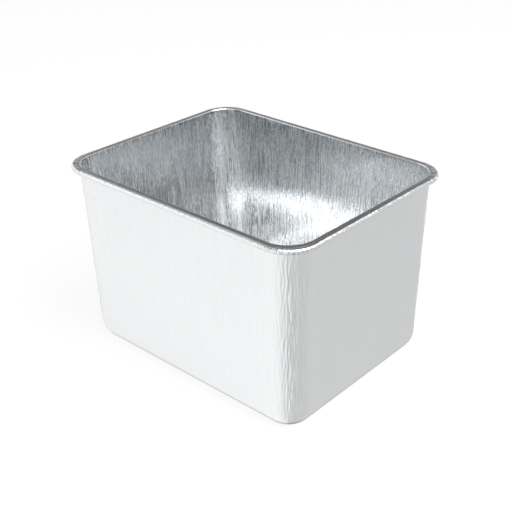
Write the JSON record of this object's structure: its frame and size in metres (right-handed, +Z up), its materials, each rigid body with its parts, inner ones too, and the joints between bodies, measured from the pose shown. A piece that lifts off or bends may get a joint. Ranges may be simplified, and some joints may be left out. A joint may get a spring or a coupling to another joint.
{
  "type": "foil baking pan",
  "caption": "Deep rectangular baking pan of thin bright aluminium with smooth upright walls, rounded corners and a rolled, wired rim.",
  "frame": {"origin": "middle of the floor's underside, the face that the pan stands on", "axes": "+X along the pan's length, +Y across its width, +Z up towards the open mouth"},
  "size_m": [0.15, 0.1166, 0.0978],
  "materials": {
    "drawn_aluminium": "bare bright aluminium with fine upright drawing streaks",
    "rim_steel": "drawn steel wire"
  },
  "bodies": {
    "root": {"pan_shell": "drawn_aluminium", "rim_wire": "rim_steel"}
  },
  "joints": []
}
